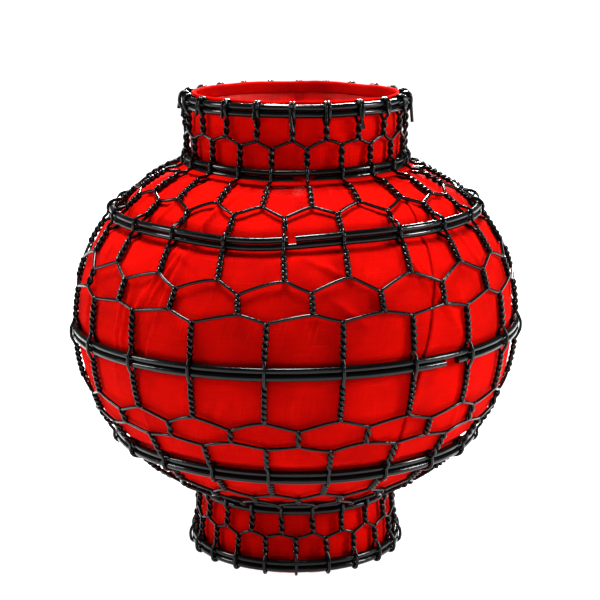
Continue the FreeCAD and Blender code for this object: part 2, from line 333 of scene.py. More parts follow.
def make_enamel(name, color, run_scale, run_depth, dust):
    material, tree, shader = new_material(name)
    where = add(tree, "ShaderNodeTexCoord")
    effect = add(
        tree,
        "ShaderNodeGroup",
        {"node_tree": enamel_group},
        {0: where.outputs["Object"], 1: run_scale, 2: dust},
    )
    mixed = add(
        tree,
        "ShaderNodeMix",
        {"data_type": "RGBA"},
        {"Factor": effect.outputs["Dust"], 6: color, 7: DUST_COLOR},
    )
    tree.links.new(mixed.outputs[2], shader.inputs["Base Color"])
    rough = spread(tree, effect.outputs["Dull"], 0.35, 0.7, 0.12, 0.24)
    tree.links.new(rough, shader.inputs["Roughness"])
    bump = add(
        tree,
        "ShaderNodeBump",
        {},
        {"Strength": 0.5, "Distance": run_depth, "Height": effect.outputs["Height"]},
    )
    tree.links.new(bump.outputs[0], shader.inputs["Normal"])
    shader.inputs["Specular IOR Level"].default_value = 0.28
    shader.inputs["Coat Weight"].default_value = 0.08
    shader.inputs["Coat Roughness"].default_value = 0.08
    shader.inputs["IOR"].default_value = 1.5
    return material


hoop_enamel = make_enamel("hoop_enamel", (0.002, 0.003, 0.0032, 1), 220.0, 0.0004, 0.1)
net_enamel = make_enamel("net_enamel", (0.002, 0.003, 0.0032, 1), 520.0, 0.0003, 0.2)
print("enamels:", hoop_enamel.name, net_enamel.name)

# %% [markdown]
# ### Red cotton
# Plain woven cotton, dyed red and stiffened. Seen close, the threads cross over and under, some are
# thicker, and the dye is a little uneven. Light comes through one layer of it, which subsurface
# scattering gives, because each sheet has two faces 0.4 mm apart. The neck's inner face gets a
# second, paler pink cotton: a painted glow that stands in for light shining through the cloth from
# behind. That face also lets more light through.

# %% Make the cotton


def make_cotton(name, deep, bright, slub_color, glow):
    material, tree, shader = new_material(name)
    where = add(tree, "ShaderNodeTexCoord")
    effect = add(
        tree,
        "ShaderNodeGroup",
        {"node_tree": weave_group},
        {0: where.outputs["UV"], 1: THREAD_PITCH},
    )
    dye = add(
        tree,
        "ShaderNodeMix",
        {"data_type": "RGBA"},
        {"Factor": spread(tree, effect.outputs["Cloud"], 0.3, 0.7), 6: deep, 7: bright},
    )
    pale = spread(tree, effect.outputs["Slub"], 0.66, 0.84, 0.0, 0.3)
    threads = add(
        tree,
        "ShaderNodeMix",
        {"data_type": "RGBA"},
        {"Factor": pale, 6: dye.outputs[2], 7: slub_color},
    )
    shade = spread(tree, effect.outputs["Gap"], 0.1, 0.9, 1.0, 0.6)
    streaks = spread(tree, effect.outputs["Streak"], 0.36, 0.64, 0.88, 1.08)
    shade = calc(tree, "MULTIPLY", shade, streaks)
    color = add(
        tree,
        "ShaderNodeMix",
        {"data_type": "RGBA", "blend_type": "MULTIPLY"},
        {"Factor": 1.0, 6: threads.outputs[2], 7: shade},
    )
    tree.links.new(color.outputs[2], shader.inputs["Base Color"])
    bump = add(
        tree,
        "ShaderNodeBump",
        {},
        {"Strength": 0.6, "Distance": 0.00012, "Height": effect.outputs["Height"]},
    )
    tree.links.new(bump.outputs[0], shader.inputs["Normal"])
    rough = spread(tree, effect.outputs["Cloud"], 0.3, 0.7, 0.78, 0.92)
    tree.links.new(rough, shader.inputs["Roughness"])
    shader.inputs["Sheen Weight"].default_value = 0.01
    shader.inputs["Sheen Roughness"].default_value = 0.5
    shader.inputs["Sheen Tint"].default_value = (1.0, 0.3, 0.25, 1)
    shader.inputs["Specular IOR Level"].default_value = 0.03
    shader.inputs["Subsurface Weight"].default_value = glow
    shader.inputs["Subsurface Radius"].default_value = (1.0, 0.25, 0.2)
    shader.inputs["Subsurface Scale"].default_value = 0.0012
    return material


red_cotton = make_cotton(
    "red_cotton", (0.4, 0.0015, 0.0006, 1), (0.62, 0.0045, 0.001, 1), (0.74, 0.08, 0.045, 1), 0.35
)
# The neck's inner face: paler pink colours are a painted glow of light shining through from behind,
# with more subsurface scattering.
painted_glow_cotton = make_cotton(
    "painted_glow_cotton", (0.62, 0.04, 0.034, 1), (0.8, 0.11, 0.1, 1), (0.9, 0.42, 0.38, 1), 0.9
)
print("cotton:", red_cotton.name, painted_glow_cotton.name)

# %% [markdown]
# ## The hoops
# Each strand is a ring of wire with a square cut. A curve with a round bevel is the natural way
# to make wire in Blender: the curve is the wire's middle, and the bevel gives its thickness.
# Handmade rings are never quite flat, so each wanders by up to two tenths of a millimetre, and
# three of them sag a little at the front.

# %% Make a wire


def make_wire(name, points, thickness, material, body, resolution=3, sides=3):
    data = bpy.data.curves.new(name, "CURVE")
    data.dimensions = "3D"
    data.bevel_depth = thickness / 2
    data.bevel_resolution = sides
    data.resolution_u = resolution
    data.use_fill_caps = True
    spline = data.splines.new("BEZIER")
    spline.bezier_points.add(len(points) - 1)
    for knot, point in zip(spline.bezier_points, points):
        knot.co = point
        knot.handle_left_type = knot.handle_right_type = "AUTO"
    wire = bpy.data.objects.new(name, data)
    bpy.context.collection.objects.link(wire)
    data.materials.append(material)
    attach(wire, body)
    return wire


# %% Make the strands
# The cut of each strand: azimuth in degrees and open length in metres.
STRAND_CUTS = {
    "rim_hoop_upper": (150, 0.0015),
    "rim_hoop_lower": (-155, 0.0015),
    "neck_hoop_upper": (-170, 0.0015),
    "neck_hoop_lower": (4.3, 0.010),
    "shoulder_hoop_upper": (-1.0, 0.0035),
    "shoulder_hoop_lower": (128, 0.0015),
    "equator_hoop_upper": (-120, 0.0015),
    "equator_hoop_lower": (40, 0.008),
    "lower_hoop_upper": (165, 0.0015),
    "lower_hoop_lower": (-140, 0.0015),
    "waist_hoop_upper": (110, 0.0015),
    "waist_hoop_lower": (-165, 0.0015),
    "foot_hoop_upper": (-130, 0.0015),
    "foot_hoop_lower": (145, 0.0015),
}
STRAND_KNOTS = 60
STRAND_WANDER = 0.0002


def strand_points(radius, z, lean, cut, seed):
    azimuth, opening = cut
    half = math.degrees(opening / radius) / 2
    points = []
    for step in range(STRAND_KNOTS + 1):
        turn = azimuth + half + (360 - 2 * half) * step / STRAND_KNOTS
        x = math.sin(math.radians(turn))
        y = -math.cos(math.radians(turn))
        drift = noise.noise(Vector((x * 2, y * 2, seed))) * STRAND_WANDER
        r = radius + drift
        height = z + lean * x * radius + drift - sag_at(turn, z)
        points.append(Vector((x * r, y * r, height)))
    return points


for number, (hoop_name, (radius, z, lean)) in enumerate(HOOPS.items()):
    for strand, offset in (("upper", STRAND_OFFSET), ("lower", -STRAND_OFFSET)):
        node = f"{hoop_name}_hoop_{strand}"
        points = strand_points(radius, z + offset, lean, STRAND_CUTS[node], number)
        ring_name = f"{hoop_name}_{strand}_strand"
        ring = make_wire(ring_name, points, HOOP_WIRE, hoop_enamel, "lantern", 4, 5)
        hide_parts(node)
print("strands:", len(STRAND_CUTS))

# %% [markdown]
# ## The net
# Each net wire is doubled under the foot hoop. Its two legs run up to the rim, and on the way each
# leg is twisted with its left neighbour in one row and its right neighbour in the next. At a hoop
# one wire of the pair passes in front and the other behind. The rows are given as shares of the
# way from one hoop to the next, and each row has its own small turn and spread round the lantern.

# %% The net's pattern
COLUMNS = 22
ZIGZAGS = [
    ("rim", "neck", 0.47, 0.555),
    ("neck", "shoulder", 0.475, 0.58),
    ("shoulder", "equator", 0.285, 0.38),
    ("shoulder", "equator", 0.545, 0.605),
    ("equator", "lower", 0.445, 0.515),
    ("equator", "lower", 0.665, 0.71),
    ("lower", "waist", 0.43, 0.555),
    ("lower", "waist", 0.69, 0.81),
    ("waist", "foot", 0.435, 0.51),
]
ROW_TURN = [-1.7, -2.9, -3.2, -5.0, -7.1, -7.6, -7.5, -7.2, -7.6, -8.0]
ROW_SPREAD = [3.8, 3.4, 2.8, 5.0, 5.6, 3.6, 3.4, 2.0, 3.0, 1.7]
TWIST_PITCH = 0.0064
STEPS_PER_TURN = 7
HOOK = (HOOP_WIRE + NET_WIRE) / 2 + 0.00003
PAIR = NET_WIRE / 2 + 0.00002
HOLD = 0.0042  # from a strand's middle to where the pair opens
SWAY_DEGREES = 0.5
SWAY_HEIGHT = 0.0008


def row_ends():
    tops, bottoms = [RIM_Z], []
    for above, below, start, end in ZIGZAGS:
        top, fall = HOOPS[above][1], HOOPS[above][1] - HOOPS[below][1]
        bottoms.append(top - start * fall)
        tops.append(top - end * fall)
    return list(zip(tops, bottoms + [FOOT_Z]))


ROWS = row_ends()


def sway(row, column, end):
    """Hand-made unevenness: (degrees, metres) for one end of one twisted pair."""
    key = random.Random(f"{row} {column % COLUMNS} {end}")
    return key.uniform(-1, 1) * SWAY_DEGREES, key.uniform(-1, 1) * SWAY_HEIGHT


def pair_end(row, column, end):
    """(azimuth, height) of the top or bottom of a twisted pair."""
    even = 360 * column / COLUMNS
    turn, lift = sway(row, column, end)
    azimuth = even + ROW_TURN[row] + ROW_SPREAD[row] * math.sin(math.radians(even))
    return azimuth + turn, ROWS[row][0 if end == "top" else 1] + lift


print("rows:", len(ROWS), "columns:", COLUMNS)

# %% [markdown]
# ### One twisted stretch
# Two wires of a pair are half a turn apart on a helix. The phase is 0 when the wire is in front
# and 90 degrees when it lies to the right. A leg that belongs to the left of its column starts and
# ends at -90, and one that belongs to the right at 90, so whole turns fit between.

# %% Twist


def twisted(start, finish, phase_start, phase_end):
    """Points of one wire down a pair, from start to finish, each (azimuth, height)."""
    steps = max(2, round(abs(phase_end - phase_start) / 360 * STEPS_PER_TURN))
    points = []
    for step in range(steps + 1):
        share = step / steps
        azimuth = start[0] + (finish[0] - start[0]) * share
        z = start[1] + (finish[1] - start[1]) * share
        phase = math.radians(phase_start + (phase_end - phase_start) * share)
        radius, height = stand_out(z, PAIR * math.cos(phase))
        aside = math.degrees(PAIR * math.sin(phase) / radius)
        points.append(place(azimuth + aside, radius, height))
    return points


def whole_turns(start, finish, extra):
    """Whole turns that give the usual pitch, when extra turns are added to them."""
    across = math.hypot(start[1] - finish[1], outline(start[1]) - outline(finish[1]))
    return max(0 if extra >= 0 else 1, round(across / TWIST_PITCH - extra))


# %% Round a hoop
SMALLEST_TURN = 0.08  # radians; a smaller one needs no point of its own
LOOP_STEPS = 4


def round_hoop(azimuth, hoop, side, above, below):
    """The wire over two strands: in front (side 1) or behind (-1). above and below are the
    (radius, height) that it comes from and goes to, or None."""
    radius, z, _ = HOOPS[hoop]
    points = []
    for end, middle, sign in ((above, z + STRAND_OFFSET, 1), (below, z - STRAND_OFFSET, -1)):
        line, reach = radius + side * HOOK, 0
        arc = []
        if end:
            for _ in range(8):
                turn = math.atan2(side * (line - end[0]), abs(end[1] - middle) - reach)
                reach = max(0, HOOK * math.tan(turn / 2))
            if turn > SMALLEST_TURN:
                aside, aloft = HOOK * math.cos(turn), HOOK * math.sin(turn)
                tangent = (radius + side * aside, middle + sign * aloft)
                arc.append(place(azimuth, *tangent))
        arc.append(place(azimuth, line, middle))
        points += arc if sign > 0 else arc[::-1]
    return points


def loop_end(azimuth, hoop, side, over):
    """The half circle over the rim (over is 1) or under the foot (-1), in the wire's order."""
    radius, z, _ = HOOPS[hoop]
    points = []
    for step in range(LOOP_STEPS + 1):
        angle = math.pi * step / LOOP_STEPS
        out = side * math.cos(angle) * HOOK
        rise = STRAND_OFFSET + math.sin(angle) * HOOK
        points.append(place(azimuth, radius + out, z + over * rise))
    return points


# %% [markdown]
# ### The arms
# Between two rows a single wire leaves one pair at once at a shallow slope, runs nearly straight,
# and turns down into the next pair. Some arms run more level first and drop later.

# %% Arms
ARM_SHARES = (0.07, 0.3, 0.6, 0.84, 0.96)
ARM_FALL = {1: (0.95, 1.25), -1: (1.1, 1.6)}  # power of the fall, by the way the arm runs
ARM_SAG = (-0.0004, 0.0003)
ARM_OUT = 0.0001  # how far an arm lies outside the outline


def arm(start, finish, key):
    """Points between two pair ends, each (azimuth, height)."""
    toward = 1 if finish[0] > start[0] else -1
    chance = random.Random(key)
    power = chance.uniform(*ARM_FALL[toward])
    sag = chance.uniform(*ARM_SAG)
    points = []
    for share in ARM_SHARES:
        from_azimuth = start[0] + toward * math.degrees(PAIR / outline(start[1]))
        to_azimuth = finish[0] - toward * math.degrees(PAIR / outline(finish[1]))
        azimuth = from_azimuth + (to_azimuth - from_azimuth) * share
        fall = share**power
        z = start[1] + (finish[1] - start[1]) * fall + sag * math.sin(math.pi * share)
        points.append(place(azimuth, *stand_out(z, ARM_OUT)))
    return points


# %% [markdown]
# ### A whole leg
# A leg is built from the rim down: its end over the rim, then row by row a twisted stretch, the
# crossing of a hoop, another twisted stretch and an arm. Some ends at the rim were left long and
# hang down as tails.

# %% Legs
TAIL_SHORT = 0.0042
TAILS = {0: 0.009, 1: 0.0052, 2: 0.0088, 5: 0.0105, 18: 0.0065, 12: 0.008, 15: 0.009}


def rim_end(column, side):
    """The wire's end over the rim hoop, and on down to where its pair starts to twist."""
    azimuth, _ = pair_end(0, column, "top")
    beside = azimuth + side * math.degrees(PAIR / RIM_RADIUS)
    over = loop_end(beside, "rim", side, 1)
    across = RIM_RADIUS - side * HOOK
    if side > 0:
        tail = [place(beside, across, RIM_Z - 0.001)]
    else:
        drop = TAILS.get(column % COLUMNS, TAIL_SHORT)
        aslant = random.Random(column % COLUMNS).uniform(-0.6, 1.4) * drop / TAIL_SHORT
        tail = [
            place(beside + aslant * 0.5, across + 0.0008, RIM_Z - drop),
            place(beside + aslant * 0.2, across + 0.0004, RIM_Z - drop * 0.55),
            place(beside, across, RIM_Z),
        ]
    down = [place(beside, RIM_RADIUS + side * HOOK, RIM_Z - STRAND_OFFSET)]
    return tail + over[::-1] + down


def leg(column, side):
    """Points of one leg, from its end at the rim down to the foot."""
    points = rim_end(column, side)
    flip = 0 if side > 0 else 180
    last = len(ROWS) - 1
    for row in range(len(ROWS)):
        # In every other row the pair is made by this column's own two legs.
        own_pair = row % 2 == 0
        u = column if own_pair else column + side * 0.5
        first = 90 if own_pair else -90
        top, bottom = pair_end(row, u, "top"), pair_end(row, u, "bottom")
        if row == 0:
            top = (top[0], RIM_Z - STRAND_OFFSET - HOLD)
            turns = whole_turns(top, bottom, 0)
            points += twisted(top, bottom, first + flip, first + flip + 360 * turns)
        else:
            crossed = [n for n, h in HOOPS.items() if ROWS[row][1] <= h[1] <= ROWS[row][0]]
            if not crossed:
                turns = max(1, whole_turns(top, bottom, 0))
                points += twisted(top, bottom, first + flip, first + flip + 360 * turns)
            else:
                points += crossing_row(row, crossed[0], side, top, bottom, first, flip, row == last)
        if row < last:
            following = pair_end(row + 1, column + side * 0.5 if own_pair else column, "top")
            points += arm(bottom, following, f"{row} {column % COLUMNS} {side}")
    return points


def crossing_row(row, hoop, side, top, bottom, phase, flip, is_last):
    """A pair that is twisted above a hoop, opens round it, and is twisted again below."""
    z = HOOPS[hoop][1]
    share = (top[1] - z) / (top[1] - bottom[1])
    azimuth = top[0] + (bottom[0] - top[0]) * share
    # 1 where the outline is upright, less where it slopes
    steep = stand_out(z, 1.0)[0] - outline(z)
    above = (azimuth, z + STRAND_OFFSET + HOLD * steep)
    turns = whole_turns(top, above, -phase / 360)
    points = twisted(top, above, phase + flip, flip + 360 * max(turns, 1 if phase > 0 else 0))
    start = stand_out(above[1], side * PAIR)
    if is_last:
        points += round_hoop(azimuth, hoop, side, start, None)[:-1]
        return points + loop_end(azimuth, hoop, side, -1)[:3 if side > 0 else 2]
    below = (azimuth, z - STRAND_OFFSET - HOLD * steep)
    end = stand_out(below[1], side * PAIR)
    points += round_hoop(azimuth, hoop, side, start, end)
    turns = whole_turns(below, bottom, phase / 360)
    return points + twisted(below, bottom, flip, flip + phase + 360 * turns)


# %% Make the net wires
for column in range(COLUMNS):
    points = leg(column, 1) + leg(column + 1, -1)[::-1]
    wire = make_wire(f"wire_{column + 1:02d}", points, NET_WIRE, net_enamel, "lantern", 3, 2)
    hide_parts(f"net_wire_{column + 1:02d}")
print("points in the last wire:", len(points))

# %% [markdown]
# ## The lining
# The real lining is cut from flat cotton: a tube for the neck with its top folded in, five panels
# for the round body lapped at slanting seams, and a short tube for the foot. Each is a grid of
# points laid just inside the net, pulled in behind the hoops and a little fuller in the cells, with
# folds where the flat cloth was eased round the belly. Its UV map is in metres along the cloth, so
# the weave keeps its size.

# %% How deep the cloth lies
CLOTH = 0.0004
CELL_DEPTH = 0.0021
HOOP_REACH = 0.0048
# A hoop on a slope needs more depth behind it: SLOPE_ROOM for each SLOPE_STEP of 1 - steep, where
# steep is 1 if the outline is upright and less if it slopes.
SLOPE_ROOM, SLOPE_STEP = 0.0012, 0.3
RIPPLES, FINE_RIPPLES = 0.0006, 0.00022
HIGHEST_FOLD = 0.0017
FOLDS = [
    # azimuth and height of the middle, half length, half width, turn in degrees, rise
    (-36, 0.161, 0.013, 0.0010, 24, 0.0020),
    (-39, 0.158, 0.016, 0.0012, 20, 0.0016),
    (-43, 0.143, 0.012, 0.0011, 16, 0.0020),
    (-47, 0.137, 0.014, 0.0013, 8, 0.0018),
    (-50, 0.128, 0.016, 0.0011, 4, 0.0016),
    (-33, 0.171, 0.009, 0.0010, -60, 0.0014),
    (-66, 0.192, 0.014, 0.0010, 30, 0.0016),
    (-47, 0.190, 0.012, 0.0011, 28, 0.0014),
    (-66, 0.140, 0.026, 0.0015, 6, 0.0014),
    (33, 0.163, 0.012, 0.0011, -26, 0.0022),
    (38, 0.152, 0.014, 0.0012, -24, 0.0018),
    (41, 0.141, 0.012, 0.0012, -34, 0.0020),
    (47, 0.134, 0.014, 0.0014, -10, 0.0014),
    (50, 0.186, 0.012, 0.0011, -40, 0.0016),
    (61, 0.190, 0.014, 0.0011, -40, 0.0014),
    (58, 0.160, 0.016, 0.0013, -20, 0.0014),
    (9, 0.166, 0.012, 0.0012, -62, 0.0014),
    (13, 0.147, 0.012, 0.0018, -50, 0.0012),
    (22, 0.082, 0.012, 0.0014, -40, 0.0011),
    (8, 0.075, 0.010, 0.0012, -46, 0.0011),
    (-28, 0.190, 0.012, 0.0013, 34, 0.0012),
    (-20, 0.096, 0.013, 0.0016, 35, 0.0009),
    (46, 0.100, 0.020, 0.0013, -6, 0.0011),
    (110, 0.150, 0.022, 0.0014, -10, 0.0016),
    (125, 0.100, 0.020, 0.0014, 14, 0.0012),
    (-112, 0.155, 0.024, 0.0014, 12, 0.0016),
    (-140, 0.105, 0.020, 0.0014, -16, 0.0012),
    (172, 0.150, 0.022, 0.0014, 10, 0.0016),
    (84, 0.170, 0.016, 0.0012, 24, 0.0014),
    (-88, 0.112, 0.020, 0.0014, -12, 0.0012),
]


def fold_height(azimuth, z):
    """How far the folds lift the cloth at a point."""
    total = 0
    for middle, height, half_long, half_wide, turn, rise in FOLDS:
        along = z - height
        if abs(along) > 2.2 * half_long:
            continue
        across = math.radians((azimuth - middle + 180) % 360 - 180) * outline(z)
        angle = math.radians(turn)
        aside = across * math.cos(angle) - along * math.sin(angle)
        length = across * math.sin(angle) + along * math.cos(angle)
        total += rise * math.exp(-((aside / half_wide) ** 2) - (length / half_long) ** 2)
    return total


def cloth_depth(azimuth, z):
    """Distance from the net's middle in to the cloth."""
    depth = CELL_DEPTH
    for radius, height, _ in HOOPS.values():
        steep = (stand_out(height, 1.0)[0] - outline(height)) if WAIST_Z < height < NECK_Z else 1
        need = HOOK + NET_WIRE / 2 + SLOPE_ROOM * (1 - steep) / SLOPE_STEP
        near = math.exp(-(((z - height) / HOOP_REACH) ** 4))
        depth = max(depth, CELL_DEPTH + (need - CELL_DEPTH) * near)
    direction = Vector((math.sin(math.radians(azimuth)), -math.cos(math.radians(azimuth)), z * 9))
    ripple = noise.noise(direction * 5.5) * RIPPLES + noise.noise(direction * 16) * FINE_RIPPLES
    return depth - ripple - min(fold_height(azimuth, z), HIGHEST_FOLD)


# %% Lay a sheet of cloth


def finish_mesh(name, mesh, material):
    """An object with this bmesh and material."""
    data = bpy.data.meshes.new(name)
    mesh.to_mesh(data)
    mesh.free()
    piece = bpy.data.objects.new(name, data)
    bpy.context.collection.objects.link(piece)
    data.materials.append(material)
    return piece


def lay_cloth(name, columns, rows, point_at, flat_at, closed=False, inside=None):
    """A grid mesh. point_at(u, v) is a place, and flat_at(u, v) its (x, y) on the flat cloth."""
    mesh = bmesh.new()
    layer = mesh.loops.layers.uv.new("UVMap")
    grid = []
    for row in range(rows + 1):
        wide = columns if closed else columns + 1
        grid.append([mesh.verts.new(point_at(c / columns, row / rows)) for c in range(wide)])
    for row in range(rows):
        for c in range(columns):
            after = (c + 1) % len(grid[row])
            corners = ((row, c), (row, after), (row + 1, after), (row + 1, c))
            face = mesh.faces.new([grid[r][k] for r, k in corners])
            face.smooth = True
            flats = ((c, row), (c + 1, row), (c + 1, row + 1), (c, row + 1))
            for loop, (i, j) in zip(face.loops, flats):
                loop[layer].uv = flat_at(i / columns, j / rows)
    cloth = finish_mesh(name, mesh, red_cotton)
    thick = cloth.modifiers.new("thickness", "SOLIDIFY")
    thick.thickness = CLOTH
    thick.offset = 0
    if inside:
        cloth.data.materials.append(inside)
        thick.material_offset = 1
    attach(cloth, "lantern")
    return cloth


# %% [markdown]
# ### The body's five panels
# Each panel runs from the neck to the waist. Its left edge is folded and laps over its neighbour's,
# so a seam shows as a low step with a soft ridge.

# %% Make the body panels
GORES = 5
FIRST_SEAM = -40.0  # degrees
SEAM_SLANT = 150.0  # degrees for each metre of height
LAP = 2.6  # degrees
LAP_LIFT, LAP_TUCK, LAP_RIDGE = 0.00055, 0.0002, 0.0003
BODY_TOP = NECK_Z - 0.0015
BODY_BOTTOM = WAIST_Z + 0.0015
PANEL_COLUMNS, PANEL_ROWS = 110, 190


def body_height(v):
    """Heights closer together near the neck and the waist, where the cloth turns in."""
    angle = math.pi * (v - 0.5)
    if v > 0.5:
        return EQUATOR_Z + (BODY_TOP - EQUATOR_Z) * math.sin(angle)
    return EQUATOR_Z + (EQUATOR_Z - BODY_BOTTOM) * math.sin(angle)


def meridian(v, steps=60):
    """Length of cloth from the waist up to v."""
    total, last = 0, None
    for step in range(steps + 1):
        z = body_height(v * step / steps)
        here = (outline(z), z)
        if last:
            total += math.dist(here, last)
        last = here
    return total


meridian_table = [meridian(row / PANEL_ROWS) for row in range(PANEL_ROWS + 1)]


def make_panel(index):
    width = 360 / GORES
    left = FIRST_SEAM + index * width

    def azimuth_at(u, z):
        slant = SEAM_SLANT * (z - EQUATOR_Z) * blend(BODY_BOTTOM, EQUATOR_Z, z)
        return left + slant + u * (width + LAP)

    def point_at(u, v):
        z = body_height(v)
        azimuth = azimuth_at(u, z)
        lift = LAP_LIFT * (1 - blend(0.0, 0.06, u)) - LAP_TUCK * blend(0.95, 0.97, u)
        ridge = LAP_RIDGE * math.exp(-(((u - 0.012) / 0.008) ** 2))
        depth = cloth_depth(azimuth, z) - lift - ridge
        return place(azimuth, *stand_out(z, -depth))

    def flat_at(u, v):
        z = body_height(v)
        along = meridian_table[round(v * PANEL_ROWS)]
        return (u - 0.5) * math.radians(width + LAP) * outline(z), along

    panel = lay_cloth(f"body_panel_{index + 1}", PANEL_COLUMNS, PANEL_ROWS, point_at, flat_at)
    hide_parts(f"body_lining_{index + 1}")
    across = math.radians(width + LAP) * BELLY_RADIUS
    length = meridian_table[-1]
    return across, length


for index in range(GORES):
    across, length = make_panel(index)
print("a panel's flat size: %.0f by %.0f mm" % (across * 1000, length * 1000))

# %% [markdown]
# ### The neck tube and its hem
# The neck's cloth is folded in at the top, which makes a doubled band inside. One continuous grid
# follows it: up the outside, over the fold, and down the inside by the hem's depth. The fold
# stands just above the rim hoop and is not quite level.

# %% Make the neck lining
HEM = 0.0062
NECK_ROWS = 60
NECK_DEPTH = HOOK + NET_WIRE / 2 + 0.0003
NECK_COLUMNS = 400
TUBE_BULGE, TUBE_RIPPLE = 0.0009, 0.0003
FOLD_WAVE, FOLD_FLUTTER = 0.0007, 0.0002
FOLD_ROUND = 0.0012  # length over which the fold turns in
HEM_IN, FOLD_TURN = 2.2 * CLOTH, 0.9 * CLOTH
BELOW_NECK = 0.0002  # the tube's end lies this much deeper, behind the body's panels
hem_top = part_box("neck_lining")[1][2]
neck_bottom = NECK_Z - 0.0035
neck_length = hem_top - neck_bottom
neck_round = 2 * math.pi * (RIM_RADIUS - NECK_DEPTH)


def bulge(low, high, z):
    """How far the cloth stands out between two hoops."""
    return TUBE_BULGE * math.sin(math.pi * min(1, max(0, (z - low) / (high - low))))


def hem_level(azimuth):
    """The fold's own ups and downs."""
    direction = Vector((math.sin(math.radians(azimuth)), math.cos(math.radians(azimuth)), 3))
    return noise.noise(direction * 2.2) * FOLD_WAVE + noise.noise(direction * 9) * FOLD_FLUTTER


def neck_point(u, v):
    azimuth = u * 360 - 180
    along = v * (neck_length + HEM)
    inside = along > neck_length
    z = neck_bottom + (2 * neck_length - along if inside else along)
    ripple = noise.noise(Vector((u * 40, z * 90, 1))) * TUBE_RIPPLE
    depth = NECK_DEPTH - bulge(NECK_Z, RIM_Z, z)
    if z < NECK_Z:
        depth = NECK_DEPTH + BELOW_NECK
    if inside:
        depth += HEM_IN
    turn_in = FOLD_TURN * max(0, 1 - abs(along - neck_length) / FOLD_ROUND)
    depth += -turn_in if inside else turn_in
    z += hem_level(azimuth) * blend(NECK_Z, RIM_Z, z)
    return place(azimuth, outline(z) - depth - ripple, z)


neck_tube = lay_cloth(
    "neck_tube",
    NECK_COLUMNS,
    NECK_ROWS,
    neck_point,
    lambda u, v: (u * neck_round, v * (neck_length + HEM)),
    closed=True,
    # The inner face takes the paler cotton, a painted glow of light shining through from behind.
    inside=painted_glow_cotton,
)
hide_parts("neck_lining")
print("neck tube: %.0f by %.0f mm" % (neck_round * 1000, (neck_length + HEM) * 1000))

# %% [markdown]
# ### The foot tube
# A short tube closes the foot. Its lower edge is raw, so it is a little uneven on the floor.

# %% Make the foot lining
FOOT_ROWS = 30
EDGE_WAVE, EDGE_REACH = 0.0007, 0.006
FLOOR_GAP = 0.0003  # keeps the raw edge off the floor
foot_top = WAIST_Z + 0.003
foot_round = 2 * math.pi * (FOOT_RADIUS - NECK_DEPTH)


def foot_point(u, v):
    azimuth = u * 360 - 180
    z = foot_top * v
    direction = Vector((math.sin(math.radians(azimuth)), math.cos(math.radians(azimuth)), 7))
    edge = (noise.noise(direction * 7) + 0.5) * EDGE_WAVE * (1 - blend(0, EDGE_REACH, z))
    depth = NECK_DEPTH - bulge(FOOT_Z, WAIST_Z, z)
    ripple = noise.noise(Vector((u * 40, z * 90, 5))) * TUBE_RIPPLE
    return place(azimuth, outline(min(z, WAIST_Z)) - depth - ripple, max(FLOOR_GAP, z + edge))


foot_tube = lay_cloth(
    "foot_tube",
    NECK_COLUMNS,
    FOOT_ROWS,
    foot_point,
    lambda u, v: (u * foot_round, v * foot_top),
    closed=True,
)
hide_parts("foot_lining")
print("foot tube: %.0f by %.0f mm" % (foot_round * 1000, foot_top * 1000))

# %% [markdown]
# ## The light
# The dish, the foil cup and the wax are round, so each is a profile that is spun about the upright
# axis, and the wick is a bent wire. Their radii and heights come from the frame.

# %% Finishes of the light


def simple_finish(name, color, other, scale, rough, metallic, bump_depth):
    """A finish whose colour, roughness and surface change a little from place to place."""
    material, tree, shader = new_material(name)
    where = add(tree, "ShaderNodeTexCoord")
    effect = add(
        tree,
        "ShaderNodeGroup",
        {"node_tree": enamel_group},
        {0: where.outputs["Object"], 1: scale, 2: 0.4},
    )
    mixed = add(
        tree,
        "ShaderNodeMix",
        {"data_type": "RGBA"},
        {"Factor": effect.outputs["Dull"], 6: color, 7: other},
    )
    tree.links.new(mixed.outputs[2], shader.inputs["Base Color"])
    dull = spread(tree, effect.outputs["Dull"], 0.3, 0.7, *rough)
    tree.links.new(dull, shader.inputs["Roughness"])
    bump = add(
        tree,
        "ShaderNodeBump",
        {},
        {"Strength": 0.4, "Distance": bump_depth, "Height": effect.outputs["Height"]},
    )
    tree.links.new(bump.outputs[0], shader.inputs["Normal"])
    shader.inputs["Metallic"].default_value = metallic
    return material


dish_paint = simple_finish(
    "dish_paint", (0.012, 0.012, 0.013, 1), (0.03, 0.03, 0.032, 1), 180, (0.3, 0.5), 0.0, 0.0003
)
foil = simple_finish(
    "foil", (0.8, 0.8, 0.81, 1), (0.6, 0.61, 0.63, 1), 400, (0.22, 0.38), 1.0, 0.0003
)
wax = simple_finish(
    "wax", (0.86, 0.84, 0.77, 1), (0.78, 0.75, 0.66, 1), 90, (0.35, 0.55), 0.0, 0.0004
)
wax_shader = wax.node_tree.nodes["Principled BSDF"]
wax_shader.inputs["Subsurface Weight"].default_value = 0.4
wax_shader.inputs["Subsurface Radius"].default_value = (1.0, 0.8, 0.5)
wax_shader.inputs["Subsurface Scale"].default_value = 0.004
wick_thread = simple_finish(
    "wick_thread", (0.75, 0.71, 0.6, 1), (0.5, 0.46, 0.38, 1), 1500, (0.8, 0.95), 0.0, 0.0002
)
print("finishes of the light: 4")

# %% Spin a profile
SPIN_STEPS = 128


